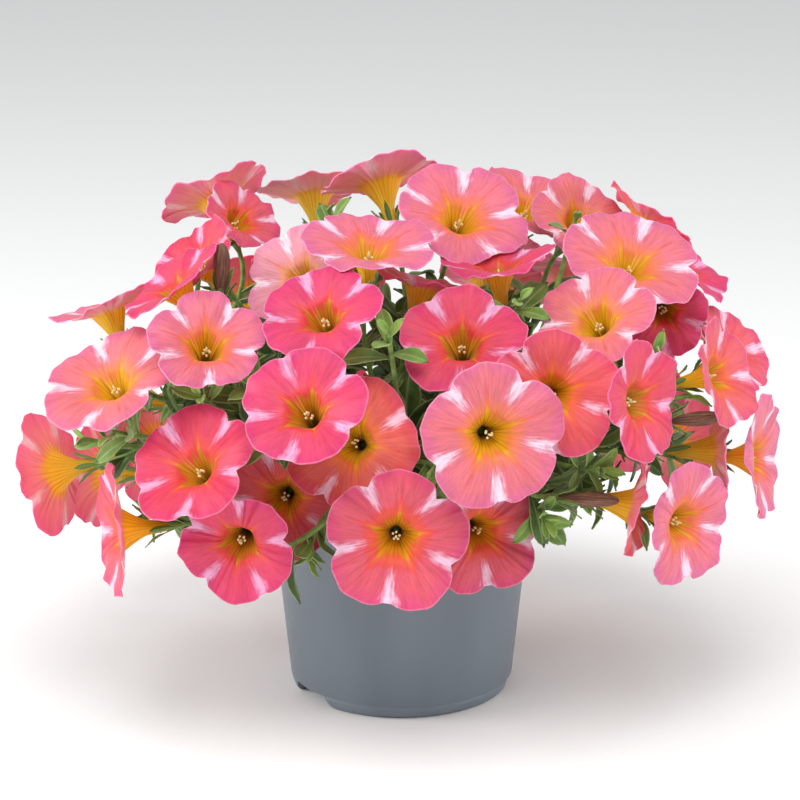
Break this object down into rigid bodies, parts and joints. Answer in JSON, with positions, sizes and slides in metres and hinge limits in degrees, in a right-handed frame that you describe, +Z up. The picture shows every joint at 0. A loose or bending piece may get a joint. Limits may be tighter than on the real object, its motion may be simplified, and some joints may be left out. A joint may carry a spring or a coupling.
{
  "type": "potted petchoa",
  "caption": "Potted petchoa in bloom: a low dome of pink, coral and crimson funnel flowers on leafy stems in a round grey plastic nursery pot.",
  "frame": {"origin": "middle of the pot's foot, on the surface that the pot stands on", "axes": "+Z up along the pot's axis, -Y towards the front of the plant as pictured, +X to its right"},
  "size_m": [0.3435, 0.3203, 0.2531],
  "materials": {
    "pot_plastic": "moulded, dull sheen",
    "peat_soil": "moist peat crumbs",
    "leaf_green": "soft, finely hairy leaf",
    "crimson_petals": "satin petal",
    "coral_petals": "satin petal",
    "pink_petals": "satin petal",
    "pale_petals": "satin petal",
    "spent_petals": "dried petal"
  },
  "bodies": {
    "root": {"pot": "pot_plastic", "soil": "peat_soil", "stem_middle": "leaf_green", "stem_1": "leaf_green", "stem_2": "leaf_green", "stem_3": "leaf_green", "stem_4": "leaf_green", "stem_5": "leaf_green", "stem_6": "leaf_green", "stem_7": "leaf_green", "stem_8": "leaf_green", "bloom_01": "coral_petals", "bloom_02": "pink_petals", "bloom_03": "crimson_petals", "bloom_04": "coral_petals", "bloom_05": "coral_petals", "bloom_06": "coral_petals", "bloom_07": "crimson_petals", "bloom_08": "coral_petals", "bloom_09": "crimson_petals", "bloom_10": "coral_petals", "bloom_11": "pink_petals", "bloom_12": "pink_petals", "bloom_13": "pink_petals", "bloom_14": "crimson_petals", "bloom_15": "pink_petals", "bloom_16": "coral_petals", "bloom_17": "crimson_petals", "bloom_18": "pale_petals", "bloom_19": "pink_petals", "bloom_20": "pink_petals", "bloom_21": "pink_petals", "bloom_22": "pale_petals", "bloom_23": "crimson_petals", "bloom_24": "crimson_petals", "bloom_25": "crimson_petals", "bloom_26": "crimson_petals", "bloom_27": "pink_petals", "bloom_28": "pink_petals", "bloom_29": "pink_petals", "bloom_32": "coral_petals", "bloom_34": "crimson_petals", "bloom_35": "pale_petals", "bloom_37": "coral_petals", "bloom_38": "pink_petals", "bloom_39": "pink_petals", "bloom_40": "coral_petals", "bloom_41": "crimson_petals", "bloom_42": "coral_petals", "bloom_43": "pink_petals", "bloom_44": "coral_petals", "bloom_45": "pink_petals", "bloom_46": "crimson_petals", "bloom_47": "coral_petals", "bloom_48": "pink_petals", "bloom_49": "coral_petals", "spent_bloom_1": "spent_petals", "spent_bloom_2": "spent_petals", "spent_bloom_3": "spent_petals", "spent_bloom_4": "spent_petals"}
  },
  "joints": []
}
